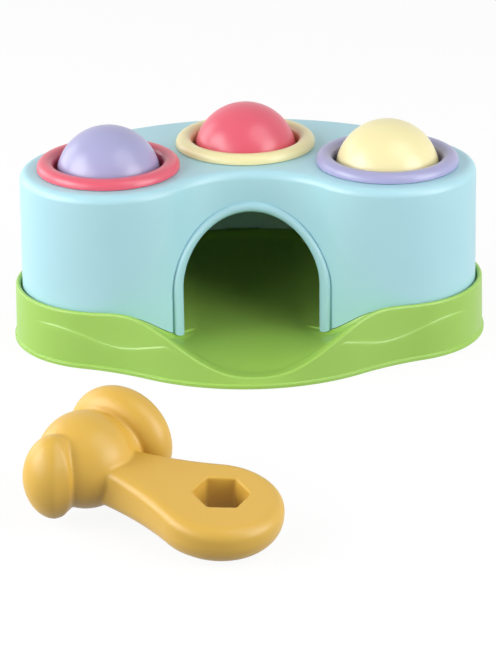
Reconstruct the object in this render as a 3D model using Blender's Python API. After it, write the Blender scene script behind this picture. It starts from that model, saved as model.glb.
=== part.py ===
"""Toddler's ball pounding bench with its hammer.

A lobed blue housing with an arched doorway stands in a moulded green base tray.
Three balls sit in coloured collars in the housing's top.  A blow of the hammer
pushes a ball through its soft grip ring onto the tray's valley, which leads it
out of the doorway.

Frame: metres, +Z up.  The origin lies on the ground midway between the two side
holes, +X points to the viewer's right and -Y points to the viewer.
"""

from math import acos, atan2, cos, hypot, pi, radians, sin, sqrt

import bmesh
import bpy
import numpy as np
from mathutils import Euler, Matrix, Vector

# Balls and their places
BALL_DIAMETER = 0.050
BALL_WALL = 0.0022
BALL_SINK = 0.0047
SIDE_HOLE_X = 0.0666
MIDDLE_HOLE_Y = 0.0319

# Blue housing
TOP_HEIGHT = 0.084
HOUSING_WALL = 0.0024
LOBE_RADIUS = 0.0434
BACK_REACH = 0.0758
SADDLE_REACH = 0.0118
DRAFT = radians(1.0)
TOP_EDGE_RADIUS = 0.0042
ARCH_HALF_WIDTH = 0.0324
ARCH_SPRING_HEIGHT = 0.0318
ARCH_BAND_WIDTH = 0.0048
ARCH_BAND_RISE = 0.0022
KEY_NOTCH_WIDTH = 0.0166
KEY_NOTCH_HEIGHT = 0.0024

# Green base tray
RIM_STAND_OFF = 0.0056
LIP_REACH = 0.0751
BULGE_RADIUS = 0.093
SWEEP_RADIUS = 0.130
TRAY_WALL = 0.0024
FLANGE_HEIGHT = 0.0018
FLANGE_STEP = 0.0008
RIM_LEAN = 0.0007
RIM_ROUND = 0.0016
CREST_SHARE = 0.3
RIM_HEIGHT = 0.0278
SHOULDER_RISE = 0.0012
LIP_HEIGHT = 0.0050
SWOOP_HALF_WIDTH = 0.062
SWOOP_POWER = 1.22
LEDGE_HEIGHT = 0.0240
DOOR_FLOOR_HEIGHT = 0.0068
BOWL_FLAT_HALF_WIDTH = 0.027
BOWL_SIDE_HALF_WIDTH = 0.060
BOWL_SHARES = (0.3, 0.65)
BOWL_POWER = 2.2
VALLEY_RISE = 0.0165
VALLEY_POWER = 1.6
SIDE_RAMP_RISE = 0.0170
VALLEY_HALF_WIDTH = 0.026
FLOOR_CENTRE_Y = 0.020
FLOOR_SHARES = (0.9, 0.68, 0.45, 0.22)
PAD_RADIUS = 0.012

# Collars and grip rings
COLLAR_RIM_WIDTH = 0.0069
COLLAR_RIM_RISE = 0.0043
BALL_GAP = 0.0024
SLEEVE_WALL = 0.0020
SLEEVE_DEPTH = 0.0200
SLEEVE_LIP = 0.0020
SLEEVE_LIP_GAP = 0.0008
GROOVE_DEPTH = 0.0060
GROOVE_CUT = 0.0011
HOOK_REACH = 0.0014
HOOK_HEIGHT = 0.0036
HOOK_WIDTH = 0.0080
HOOK_COUNT = 4
GRIP_WALL = 0.0019
GRIP_CONTACT_DROP = 0.0095
GRIP_TIP_HEIGHT = 0.0012

# Screws that pull the base up to the housing
BOSS_RADIUS = 0.0040
BACK_BOSS_X = 0.034
LOBE_BOSS_ANGLE = radians(45.0)
POST_RADIUS = 0.0052
SCREW_HEAD_RADIUS = 0.0031
SCREW_HEAD_HEIGHT = 0.0021
SCREW_HEAD_BEVEL = 0.0006
SCREW_SHANK_RADIUS = 0.0014
SCREW_LENGTH = 0.0140
SCREW_SEAT = 0.0034

# Hammer, lying in front of the base on its face's edge and its handle's end
HAMMER_X = -0.0731
HAMMER_Y = -0.1934
HANDLE_TURN = radians(-31.4)
HANDLE_DIP = radians(4.5)
HEAD_ROLL = radians(4.7)
HEAD_RADIUS = 0.0238
HEAD_ROUND = 0.0088
HEAD_REACH = 0.0222
BODY_RADIUS = 0.0205
BODY_SET_BACK = 0.0032
BODY_LIFT = 0.0006
NECK_RADIUS = 0.0160
HANDLE_REACH = 0.0604
HANDLE_END_RADIUS = 0.0264
HANDLE_NECK_HALF_WIDTH = 0.0087
HANDLE_NECK_RADIUS = 0.131
HANDLE_THICKNESS = 0.0188
HANDLE_DROOP = radians(1.3)
HANDLE_TAPER = radians(1.6)
HANDLE_TOP_ROUND = 0.0036
HANDLE_NECK_TOP_ROUND = 0.0022
HANDLE_UNDER_ROUND = 0.0113
HANDLE_NECK_UNDER_ROUND = 0.0052
HEX_X = 0.0596
HEX_Y = 0.0028
HEX_RADIUS = 0.0119
CLAW_X = -0.0073
CLAW_Y = -0.0172
CLAW_RADIUS = 0.0132
CLAW_HALF_HEIGHT = 0.0190
CLAW_BULGE = 1.9
CLAW_FACE_REACH = 0.0117
CLAW_FACE_TURN = radians(-31.0)
CLAW_SIDE_REACH = 0.0103
CLAW_SIDE_TURN = radians(4.0)

# Fits and facet counts
FIT = 0.0003
SEAT_GAP = 0.00035
FRONT_STEPS = 6
SWEEP_STEPS = 5
LOBE_STEPS = 9
BACK_STEPS = 4
EDGE_STEPS = 3
BAND_STEPS = 4
BALL_STEPS = 20
BALL_RINGS = 6
ARCH_STEPS = 16
ROD_SIDES = 12
CLAW_RINGS = 7
RING_STEPS = 26
HEAD_STEPS = 22
FACE_STEPS = 9

# Colours, from the photograph's mid tones
BLUE = "a6d4db"
GREEN = "a3cf62"
PINK = "ed7084"
YELLOW = "fbeeb4"
LILAC = "b0b0da"
PALE_GREY = "e6e6e2"
STEEL = "b9bcc0"
AMBER = "e5b564"

# Sizes that follow from the ones above
BALL_RADIUS = BALL_DIAMETER / 2
SLEEVE_BORE = BALL_RADIUS + BALL_GAP + GROOVE_CUT
SLEEVE_RADIUS = SLEEVE_BORE + SLEEVE_WALL
COLLAR_BORE = BALL_RADIUS + BALL_GAP
HOLE_RADIUS = SLEEVE_RADIUS + FIT
HOLES = {
    "left": Vector((-SIDE_HOLE_X, 0.0, TOP_HEIGHT)),
    "middle": Vector((0.0, MIDDLE_HOLE_Y, TOP_HEIGHT)),
    "right": Vector((SIDE_HOLE_X, 0.0, TOP_HEIGHT)),
}


def srgb(hex_colour):
    """Linear RGBA of an sRGB hex colour."""
    channels = [int(hex_colour[i:i + 2], 16) / 255 for i in (0, 2, 4)]
    linear = [c / 12.92 if c <= 0.04045 else ((c + 0.055) / 1.055) ** 2.4 for c in channels]
    return (*linear, 1.0)


def material(name, hex_colour, roughness, metallic=0.0):
    """Principled material with one colour."""
    mat = bpy.data.materials.new(name)
    mat.use_nodes = True
    shader = mat.node_tree.nodes["Principled BSDF"]
    shader.inputs["Base Color"].default_value = srgb(hex_colour)
    shader.inputs["Roughness"].default_value = roughness
    shader.inputs["Metallic"].default_value = metallic
    return mat


def place(name, bm, mat=None, origin=(0, 0, 0)):
    """Make an object from bm, whose points are given about origin, and place it there."""
    bmesh.ops.recalc_face_normals(bm, faces=bm.faces)
    mesh = bpy.data.meshes.new(name)
    bm.to_mesh(mesh)
    bm.free()
    mesh.shade_smooth()
    mesh.set_sharp_from_angle(angle=radians(35))
    if mat:
        mesh.materials.append(mat)
    obj = bpy.data.objects.new(name, mesh)
    obj.location = origin
    bpy.context.scene.collection.objects.link(obj)
    return obj


def tool(name, bm):
    """A cutter or an addition that only a Boolean uses."""
    obj = place(name, bm)
    obj.hide_render = True
    obj.display_type = "WIRE"
    return obj


def boolean(obj, other, operation):
    """Join another object's shape to obj, or cut it away."""
    mod = obj.modifiers.new(other.name, "BOOLEAN")
    mod.operation = operation
    mod.solver = "EXACT"
    mod.object = other


def loft(rings, bm=None, start=None, end=None):
    """Skin closed rings of points in order, with a pole or a flat cap at each end."""
    bm = bm or bmesh.new()
    loops = [[bm.verts.new(p) for p in ring] for ring in rings]
    for low, high in zip(loops, loops[1:]):
        for i, v in enumerate(low):
            j = (i + 1) % len(low)
            bm.faces.new((v, low[j], high[j], high[i]))
    for loop, pole, flip in ((loops[0], start, True), (loops[-1], end, False)):
        if pole is None:
            bm.faces.new(loop[::-1] if flip else loop)
            continue
        tip = bm.verts.new(pole)
        for i, v in enumerate(loop):
            w = loop[(i + 1) % len(loop)]
            bm.faces.new((w, v, tip) if flip else (v, w, tip))
    return bm


def turned(name, profile, steps, mat, origin, closed=True):
    """Turn a profile of (radius, height) pairs, running down its outer side, about Z."""
    bm = bmesh.new()
    verts = [bm.verts.new((r, 0.0, z)) for r, z in profile]
    for a, b in zip(verts, verts[1:]):
        bm.edges.new((a, b))
    if closed:
        bm.edges.new((verts[-1], verts[0]))
    mesh = bpy.data.meshes.new(name)
    bm.to_mesh(mesh)
    bm.free()
    if mat:
        mesh.materials.append(mat)
    obj = bpy.data.objects.new(name, mesh)
    obj.location = origin
    bpy.context.scene.collection.objects.link(obj)
    screw = obj.modifiers.new("turn", "SCREW")
    screw.steps = steps
    screw.render_steps = steps
    screw.use_merge_vertices = True
    screw.merge_threshold = 0.00002
    screw.use_smooth_shade = True
    return obj


def arc(centre, radius, start, stop, steps):
    """Points on an arc from start, with stop left out for the next piece of the outline."""
    angles = start + (stop - start) * np.arange(steps) / steps
    return np.column_stack([centre[0] + radius * np.cos(angles), centre[1] + radius * np.sin(angles)])


def mirrored(half):
    """Close a right half outline, whose ends lie on the middle plane, with its mirror image."""
    left = half[-2:0:-1] * (-1, 1)
    return np.vstack([half, left])


def back_centre():
    """Height on the middle plane of the centre of the back arc, which touches both lobes."""
    free = BACK_REACH - LOBE_RADIUS
    return (free ** 2 - SIDE_HOLE_X ** 2) / (2 * free)


def saddle_centre():
    """Height on the middle plane of the centre of the front saddle, which touches both lobes."""
    free = LOBE_RADIUS - SADDLE_REACH
    return -(SIDE_HOLE_X ** 2 - free ** 2) / (2 * free)


def sweep_centre(lobe_radius, bulge_y):
    """Centre of the hollow sweep that touches a lobe of the tray and the bulge of its lip."""
    to_lobe = lobe_radius + SWEEP_RADIUS
    to_bulge = BULGE_RADIUS + SWEEP_RADIUS
    apart = hypot(SIDE_HOLE_X, bulge_y)
    along = (to_bulge ** 2 - to_lobe ** 2 + apart ** 2) / (2 * apart)
    across = sqrt(to_bulge ** 2 - along ** 2)
    unit = np.array([SIDE_HOLE_X, -bulge_y]) / apart
    return np.array([0.0, bulge_y]) + unit * along + np.array([-unit[1], unit[0]]) * -across


def tray_sweep():
    """Centre of the bulge, centre of the sweep, and the angle at which a lobe meets the sweep."""
    lobe_radius = LOBE_RADIUS + RIM_STAND_OFF
    bulge_y = BULGE_RADIUS - LIP_REACH
    sweep = sweep_centre(lobe_radius, bulge_y)
    return bulge_y, sweep, atan2(sweep[1], sweep[0] - SIDE_HOLE_X)


def back_part(lobe_radius, lobe_start):
    """Lobe from an angle to the back arc, then the back arc to the middle plane."""
    y = back_centre()
    meet = atan2(-y, SIDE_HOLE_X)
    back_radius = BACK_REACH - y + lobe_radius - LOBE_RADIUS
    lobe = arc((SIDE_HOLE_X, 0.0), lobe_radius, lobe_start, meet, LOBE_STEPS)
    back = arc((0.0, y), back_radius, meet, pi / 2, BACK_STEPS)
    return np.vstack([lobe, back, [[0.0, y + back_radius]]])


def housing_outline(inset):
    """Lobed outline of the housing, moved inwards by inset."""
    y = saddle_centre()
    meet = atan2(-y, SIDE_HOLE_X)
    turn = tray_sweep()[2]
    saddle = arc((0.0, y), -y - SADDLE_REACH + inset, pi / 2, meet, FRONT_STEPS)
    front = arc((SIDE_HOLE_X, 0.0), LOBE_RADIUS - inset, meet - pi, turn, SWEEP_STEPS)
    return mirrored(np.vstack([saddle, front, back_part(LOBE_RADIUS - inset, turn)]))


def tray_outline(inset):
    """Outline of the base tray's rim, moved inwards by inset."""
    bulge_y, sweep, turn = tray_sweep()
    lobe_radius = LOBE_RADIUS + RIM_STAND_OFF
    bulge_end = atan2(sweep[1] - bulge_y, sweep[0])
    bulge = arc((0.0, bulge_y), BULGE_RADIUS - inset, -pi / 2, bulge_end, FRONT_STEPS)
    hollow = arc(sweep, SWEEP_RADIUS + inset, bulge_end + pi, turn + pi, SWEEP_STEPS)
    return mirrored(np.vstack([bulge, hollow, back_part(lobe_radius - inset, turn)]))


def eased(t):
    """Smooth step of t, held to 0 and 1 outside its range."""
    t = np.clip(t, 0.0, 1.0)
    return t * t * (3 - 2 * t)


def front_share(count):
    """True for the points of an outline that lie on its front, before the lobes begin."""
    index = np.arange(count)
    reach = FRONT_STEPS + SWEEP_STEPS
    return (index <= reach) | (index >= count - reach)


def rim_height(outline):
    """Height of the tray's rim: low at the lip, swooping up to a shoulder, level round the lobes."""
    x = np.abs(outline[:, 0])
    lobe_x = tray_outline(0.0)[FRONT_STEPS + SWEEP_STEPS, 0]
    swoop = (1 - np.cos(pi * np.clip(x / SWOOP_HALF_WIDTH, 0, 1) ** SWOOP_POWER)) / 2
    fall = np.clip((x - SWOOP_HALF_WIDTH) / (lobe_x - SWOOP_HALF_WIDTH), 0, 1)
    shoulder = SHOULDER_RISE * (1 + np.cos(pi * fall)) / 2
    front = LIP_HEIGHT + (RIM_HEIGHT - LIP_HEIGHT) * swoop + shoulder * swoop
    return np.where(front_share(len(x)), front, RIM_HEIGHT)


def foot_height(outline):
    """Height of the tray along the foot of the housing's wall."""
    x = np.abs(outline[:, 0])
    side = eased((x - BOWL_FLAT_HALF_WIDTH) / (BOWL_SIDE_HALF_WIDTH - BOWL_FLAT_HALF_WIDTH))
    front = DOOR_FLOOR_HEIGHT + (LEDGE_HEIGHT - DOOR_FLOOR_HEIGHT) * side
    return np.where(front_share(len(x)), front, LEDGE_HEIGHT)


def floor_height(xy):
    """Height of the valley floor inside the housing, which falls to the middle and to the door."""
    door = -SADDLE_REACH
    depth = np.clip((xy[:, 1] - door) / (BACK_REACH - door), 0, 1)
    valley = DOOR_FLOOR_HEIGHT + VALLEY_RISE * depth ** VALLEY_POWER
    far = SIDE_HOLE_X + LOBE_RADIUS
    side = np.clip((np.abs(xy[:, 0]) - VALLEY_HALF_WIDTH) / (far - VALLEY_HALF_WIDTH), 0, 1)
    return np.minimum(valley + SIDE_RAMP_RISE * side, LEDGE_HEIGHT - FIT)


def lifted(xy, z):
    """Give plan points a height."""
    return np.column_stack([xy, np.broadcast_to(z, len(xy))])


def tray_rings():
    """Rings of the tray from the middle of its underside, over the rim, to the middle of its floor."""
    centre = np.array([0.0, FLOOR_CENTRE_Y])
    rim = rim_height(tray_outline(0.0))
    wall = FLANGE_STEP + RIM_LEAN
    crest = wall + 2 * RIM_ROUND
    seat = housing_outline(-SEAT_GAP)
    sill = housing_outline(HOUSING_WALL + SEAT_GAP)
    foot = foot_height(housing_outline(0.0))
    inner_rim = tray_outline(crest)
    drop = RIM_ROUND * (CREST_SHARE + (1 - CREST_SHARE) * (rim - LIP_HEIGHT) / (RIM_HEIGHT - LIP_HEIGHT))

    outer = [
        lifted(tray_outline(0.0), 0.0),
        lifted(tray_outline(0.0), FLANGE_HEIGHT),
        lifted(tray_outline(FLANGE_STEP), FLANGE_HEIGHT + FIT),
        lifted(tray_outline(wall), rim - RIM_ROUND),
        lifted(tray_outline(wall + CREST_SHARE * RIM_ROUND), rim - CREST_SHARE * RIM_ROUND),
        lifted(tray_outline(wall + RIM_ROUND), rim),
        lifted(tray_outline(crest - CREST_SHARE * RIM_ROUND), rim - CREST_SHARE * drop),
        lifted(inner_rim, rim - drop),
    ]
    bowl = []
    for share in BOWL_SHARES:
        fall = 1 - (1 - share) ** BOWL_POWER
        xy = inner_rim + (seat - inner_rim) * share
        bowl.append(lifted(xy, rim - drop + (foot - rim + drop) * fall))
    floor = [centre + (sill - centre) * share for share in FLOOR_SHARES]
    top = outer + bowl + [lifted(seat, foot), lifted(sill, foot)]
    top += [lifted(xy, floor_height(xy)) for xy in floor]

    under_rim = np.maximum(rim - RIM_HEIGHT + LEDGE_HEIGHT, LIP_HEIGHT) - TRAY_WALL
    under = [lifted(xy, floor_height(xy) - TRAY_WALL) for xy in reversed(floor)]
    under += [
        lifted(sill, foot - TRAY_WALL),
        lifted(seat, foot - TRAY_WALL),
        lifted(tray_outline(wall + TRAY_WALL), under_rim),
        lifted(tray_outline(FLANGE_STEP + TRAY_WALL), 0.0),
    ]
    middle = floor_height(centre[None])[0]
    return under + top, (*centre, middle - TRAY_WALL), (*centre, middle)


def screw_places():
    """Plan places of the screws: two in each lobe and two at the back."""
    reach = LOBE_RADIUS - HOUSING_WALL - BOSS_RADIUS + FIT
    places = []
    for side in (-1, 1):
        for turn in (-LOBE_BOSS_ANGLE, LOBE_BOSS_ANGLE):
            places.append((side * (SIDE_HOLE_X + reach * cos(turn)), reach * sin(turn)))
        back_radius = BACK_REACH - back_centre() - LOBE_RADIUS + reach
        places.append((side * BACK_BOSS_X, back_centre() + sqrt(back_radius ** 2 - BACK_BOSS_X ** 2)))
    return places


def rod(bm, place, radius, low, high, sides=ROD_SIDES):
    """Add an upright round bar to bm."""
    made = bmesh.ops.create_cone(bm, cap_ends=True, segments=sides, radius1=radius, radius2=radius,
                                 depth=high - low)
    bmesh.ops.translate(bm, verts=made["verts"], vec=(place[0], place[1], (low + high) / 2))


def base_tray():
    """Green tray: lofted shell, screw posts under the floor and a bearing pad in the middle."""
    rings, under, over = tray_rings()
    tray = place("base_tray", loft(rings, start=under, end=over), material("base_green", GREEN, 0.42))
    posts = bmesh.new()
    bores = bmesh.new()
    heads = bmesh.new()
    for spot in screw_places():
        rod(posts, spot, POST_RADIUS, 0.0, LEDGE_HEIGHT)
        rod(bores, spot, SCREW_SHANK_RADIUS + FIT, 0.0, RIM_HEIGHT)
        rod(heads, spot, SCREW_HEAD_RADIUS + FIT, -FIT, LEDGE_HEIGHT - SCREW_SEAT)
    middle = float(floor_height(np.zeros((1, 2)))[0])
    rod(posts, (0.0, 0.0), PAD_RADIUS, 0.0, middle - TRAY_WALL / 2, RING_STEPS)
    boolean(tray, tool("tray_posts", posts), "UNION")
    boolean(tray, tool("tray_bores", bores), "DIFFERENCE")
    boolean(tray, tool("tray_head_bores", heads), "DIFFERENCE")
    return tray


def base_screws():
    """Self-tapping screws, driven from below through the tray into the housing's bosses."""
    angles = 2 * pi * np.arange(ROD_SIDES) / ROD_SIDES
    circle = np.column_stack([np.cos(angles), np.sin(angles)])
    sizes = [
        (SCREW_HEAD_RADIUS - SCREW_HEAD_BEVEL, -SCREW_HEAD_HEIGHT),
        (SCREW_HEAD_RADIUS, SCREW_HEAD_BEVEL - SCREW_HEAD_HEIGHT),
        (SCREW_HEAD_RADIUS, 0.0),
        (SCREW_SHANK_RADIUS, 0.0),
        (SCREW_SHANK_RADIUS, SCREW_LENGTH),
    ]
    mat = material("screw_steel", STEEL, 0.35, 1.0)
    for count, spot in enumerate(screw_places(), 1):
        rings = [lifted(circle * radius, z) for radius, z in sizes]
        bm = loft(rings, end=(0.0, 0.0, SCREW_LENGTH + SCREW_SHANK_RADIUS))
        seat = LEDGE_HEIGHT - SCREW_SEAT - FIT
        place("base_screw_%d" % count, bm, mat, (*spot, seat))


def housing_rings():
    """Rings of the housing's shell from the middle of its roof's underside to the middle of its top."""
    foot = foot_height(housing_outline(0.0)) + FIT
    lean = np.tan(DRAFT)
    inner_edge = max(TOP_EDGE_RADIUS - HOUSING_WALL, HOUSING_WALL / 2)
    ceiling = TOP_HEIGHT - HOUSING_WALL

    def edge(inset, radius, top):
        start = inset + lean * (top - radius - LEDGE_HEIGHT)
        rings = []
        for turn in np.linspace(0, pi / 2, EDGE_STEPS + 1):
            outline = housing_outline(start + radius * (1 - cos(turn)))
            rings.append(lifted(outline, top - radius + radius * sin(turn)))
        return rings

    outer = [lifted(housing_outline(0.0), foot)] + edge(0.0, TOP_EDGE_RADIUS, TOP_HEIGHT)
    inner = [lifted(housing_outline(HOUSING_WALL), foot)] + edge(HOUSING_WALL, inner_edge, ceiling)
    return inner[::-1] + outer, ceiling


def arch_path(half_width, foot):
    """Arch from its right foot, up and over, to its left foot, as (x, z) points."""
    angles = np.linspace(0, pi, ARCH_STEPS + 1)
    x = half_width * np.cos(angles)
    z = ARCH_SPRING_HEIGHT + half_width * np.sin(angles)
    return np.column_stack([np.r_[half_width, x, -half_width], np.r_[foot, z, foot]])


def front_wall_y(x, z):
    """Depth of the housing's front face at a place on the arch."""
    inset = np.tan(DRAFT) * (z - LEDGE_HEIGHT)
    y = saddle_centre()
    x = np.abs(x)
    meet_x = SIDE_HOLE_X * (1 - LOBE_RADIUS / hypot(SIDE_HOLE_X, y))
    saddle = y + np.sqrt(np.maximum((-y - SADDLE_REACH + inset) ** 2 - x ** 2, 0))
    lobe = -np.sqrt(np.maximum((LOBE_RADIUS - inset) ** 2 - (SIDE_HOLE_X - x) ** 2, 0))
    return np.where(x < meet_x, saddle, lobe)


def arch_band():
    """Half-round band round the doorway: it follows the hollow front face, reaches a clearance
    further in than the doorway's cut and ends a clearance above the wall's foot."""
    inner = ARCH_HALF_WIDTH
    outer = ARCH_HALF_WIDTH + ARCH_BAND_WIDTH
    middle = (inner + outer) / 2
    half = (outer - inner) / 2
    section = [(inner, HOUSING_WALL / 2), (outer, HOUSING_WALL / 2)]
    for turn in np.linspace(0, pi, BAND_STEPS + 1):
        section.append((middle + half * cos(turn), -ARCH_BAND_RISE * sin(turn)))
    strands = []
    for half_width, depth in section:
        path = arch_path(half_width, 0.0)
        foot = foot_height_at(half_width) + 2 * FIT
        path[[0, -1], 1] = foot
        y = front_wall_y(path[:, 0], path[:, 1]) + depth
        strands.append(np.column_stack([path[:, 0], y, path[:, 1]]))
    rings = np.array(strands).transpose(1, 0, 2)
    return loft(list(rings))


def foot_height_at(x):
    """Height of the tray at the foot of the housing's front wall, at one distance from the middle."""
    outline = housing_outline(0.0)
    front = slice(0, FRONT_STEPS + SWEEP_STEPS + 1)
    return float(np.interp(x, outline[front, 0], foot_height(outline)[front]))


def doorway():
    """Cutter for the arched doorway through the front wall."""
    path = arch_path(ARCH_HALF_WIDTH + FIT, 0.0)
    front = -(SIDE_HOLE_X + LOBE_RADIUS)
    rings = []
    for y in (front, MIDDLE_HOLE_Y - SLEEVE_RADIUS):
        rings.append(np.column_stack([path[:, 0], np.full(len(path), y), path[:, 1]]))
    return loft(rings)


def key_notch(bm):
    """Add to bm the cutter of the blind key notch inside the foot of the back wall."""
    top = LEDGE_HEIGHT + FIT + KEY_NOTCH_HEIGHT
    verts = bmesh.ops.create_cube(bm, size=1.0)["verts"]
    bmesh.ops.scale(bm, verts=verts, vec=(KEY_NOTCH_WIDTH, 4 * HOUSING_WALL, top))
    bmesh.ops.translate(bm, verts=verts, vec=(0.0, BACK_REACH - 2.5 * HOUSING_WALL, top / 2))


def housing_shell():
    """Blue housing: lofted shell with screw bosses, collar holes, banded doorway and key notch."""
    rings, ceiling = housing_rings()
    middle = (0.0, FLOOR_CENTRE_Y)
    bm = loft(rings, start=(*middle, ceiling), end=(*middle, TOP_HEIGHT))
    shell = place("housing_shell", bm, material("housing_blue", BLUE, 0.40))
    bosses = bmesh.new()
    pilots = bmesh.new()
    holes = bmesh.new()
    for spot in screw_places():
        rod(bosses, spot, BOSS_RADIUS, LEDGE_HEIGHT + FIT, ceiling + HOUSING_WALL / 2)
        rod(pilots, spot, SCREW_SHANK_RADIUS + FIT, LEDGE_HEIGHT, LEDGE_HEIGHT + SCREW_LENGTH)
    for hole in HOLES.values():
        rod(holes, hole, HOLE_RADIUS, ceiling - HOUSING_WALL, TOP_HEIGHT + HOUSING_WALL, RING_STEPS)
    key_notch(holes)
    boolean(shell, tool("housing_bosses", bosses), "UNION")
    boolean(shell, tool("housing_pilots", pilots), "DIFFERENCE")
    boolean(shell, tool("housing_holes", holes), "DIFFERENCE")
    boolean(shell, tool("housing_doorway", doorway()), "DIFFERENCE")
    boolean(shell, tool("housing_band", arch_band()), "UNION")
    return shell


def collar(side, hex_colour):
    """Rigid collar: half-round rim on the housing's top and a hooked sleeve through the hole."""
    middle = COLLAR_BORE + COLLAR_RIM_WIDTH / 2
    half = COLLAR_RIM_WIDTH / 2
    turns = np.linspace(pi / 2, 0, BAND_STEPS + 1)
    rim = [(middle + half * cos(t), FIT + COLLAR_RIM_RISE * sin(t)) for t in turns]
    inside = [(middle - half * cos(t), FIT + COLLAR_RIM_RISE * sin(t)) for t in turns[:0:-1]]
    lip_bore = BALL_RADIUS + SLEEVE_LIP_GAP
    profile = rim + [
        (SLEEVE_RADIUS, FIT),
        (SLEEVE_RADIUS, -SLEEVE_DEPTH),
        (lip_bore, -SLEEVE_DEPTH),
        (lip_bore, SLEEVE_LIP - SLEEVE_DEPTH),
        (SLEEVE_BORE, SLEEVE_LIP - SLEEVE_DEPTH),
        (SLEEVE_BORE, -GROOVE_DEPTH),
        (COLLAR_BORE, GROOVE_CUT - GROOVE_DEPTH),
    ] + inside
    mat = material("collar_" + side, hex_colour, 0.38)
    obj = turned("collar_" + side, profile, RING_STEPS, mat, HOLES[side])
    hooks = bmesh.new()
    for k in range(HOOK_COUNT):
        catch(hooks, 2 * pi * (k + 0.5) / HOOK_COUNT, HOLES[side])
    boolean(obj, tool("collar_hooks_" + side, hooks), "UNION")
    return obj


def catch(bm, turn, origin):
    """Add one snap hook to bm: a wedge on the sleeve that catches under the housing's roof."""
    top = -HOUSING_WALL - FIT
    inner = SLEEVE_RADIUS - SLEEVE_WALL / 2
    outer = SLEEVE_RADIUS + HOOK_REACH
    profile = [(inner, top), (outer, top), (outer, top - HOOK_HEIGHT / 4), (inner, top - HOOK_HEIGHT)]
    spin = Matrix.Translation(origin) @ Matrix.Rotation(turn, 4, "Z")
    rings = []
    for y in (-HOOK_WIDTH / 2, HOOK_WIDTH / 2):
        rings.append([spin @ Vector((r, y, z)) for r, z in profile])
    loft(rings, bm)


def grip(side):
    """Soft ring in the sleeve's groove; its lip carries the ball and lets it pass at a blow."""
    outer = SLEEVE_BORE - FIT
    inner = outer - GRIP_WALL
    top = -GROOVE_DEPTH - FIT
    bottom = SLEEVE_LIP - SLEEVE_DEPTH + FIT
    tip_z = -BALL_SINK - GRIP_CONTACT_DROP
    tip_r = sqrt(BALL_RADIUS ** 2 - GRIP_CONTACT_DROP ** 2) + FIT
    rise = tip_z + GRIP_TIP_HEIGHT
    rise_r = sqrt(BALL_RADIUS ** 2 - (rise + BALL_SINK) ** 2) + FIT
    profile = [
        (outer, top),
        (outer, bottom),
        (inner, bottom),
        (tip_r, tip_z),
        (rise_r, rise),
        (inner, (rise + top) / 2),
        (inner, top),
    ]
    mat = material("grip_" + side, PALE_GREY, 0.7)
    return turned("grip_" + side, profile, RING_STEPS, mat, HOLES[side])


def ball(side, hex_colour):
    """Hollow ball of two moulded halves, welded at the equator, about its own centre."""
    centre = HOLES[side] - Vector((0, 0, BALL_SINK))
    mat = material("ball_" + side, hex_colour, 0.35)
    carrier = bpy.data.objects.new("ball_centre_" + side, None)
    carrier.location = centre
    bpy.context.scene.collection.objects.link(carrier)
    inner = BALL_RADIUS - BALL_WALL
    gap = FIT / 2
    outer_turns = np.linspace(0, acos(gap / BALL_RADIUS), BALL_RINGS + 1)
    inner_turns = np.linspace(acos(gap / inner), 0, BALL_RINGS // 2 + 1)
    outside = [(BALL_RADIUS * sin(t), BALL_RADIUS * cos(t)) for t in outer_turns]
    inside = [(inner * sin(t), inner * cos(t)) for t in inner_turns]
    outside[0] = (0.0, BALL_RADIUS)
    inside[-1] = (0.0, inner)
    for half, sign in (("upper", 1), ("lower", -1)):
        profile = [(r, sign * z) for r, z in outside + inside]
        if sign < 0:
            profile.reverse()
        obj = turned("ball_%s_%s" % (side, half), profile, BALL_STEPS, mat, (0, 0, 0), closed=False)
        obj.parent = carrier


def handle_outline(inset):
    """Plan outline of the hammer's handle about its end's centre: neck, hollow sweep and round end."""
    neck = HANDLE_NECK_HALF_WIDTH
    end = HANDLE_END_RADIUS
    sweep = HANDLE_NECK_RADIUS
    along = -sqrt((end + sweep) ** 2 - (neck + sweep) ** 2)
    turn = atan2(neck + sweep, along)
    head = acos((-HANDLE_REACH - along) / sweep)
    half = np.vstack([
        arc((along, -neck - sweep), sweep + inset, head, pi - turn, FRONT_STEPS),
        arc((0.0, 0.0), end - inset, -turn, 0.0, LOBE_STEPS),
        [[end - inset, 0.0]],
    ])
    return np.vstack([half, half[-2::-1] * (1, -1)])


def hammer_axes():
    """Turn of the lying hammer: its handle dips to the ground, its head rolls onto the face's edge."""
    return Euler((HEAD_ROLL, HANDLE_DIP, HANDLE_TURN))


def head_height():
    """Height of the head's centre when the round edge of its face rests on the ground."""
    rise = (hammer_axes().to_matrix() @ Vector((0, 1, 0))).z
    return (HEAD_RADIUS - HEAD_ROUND) * sqrt(1 - rise ** 2) + HEAD_ROUND - HEAD_REACH * rise


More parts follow.
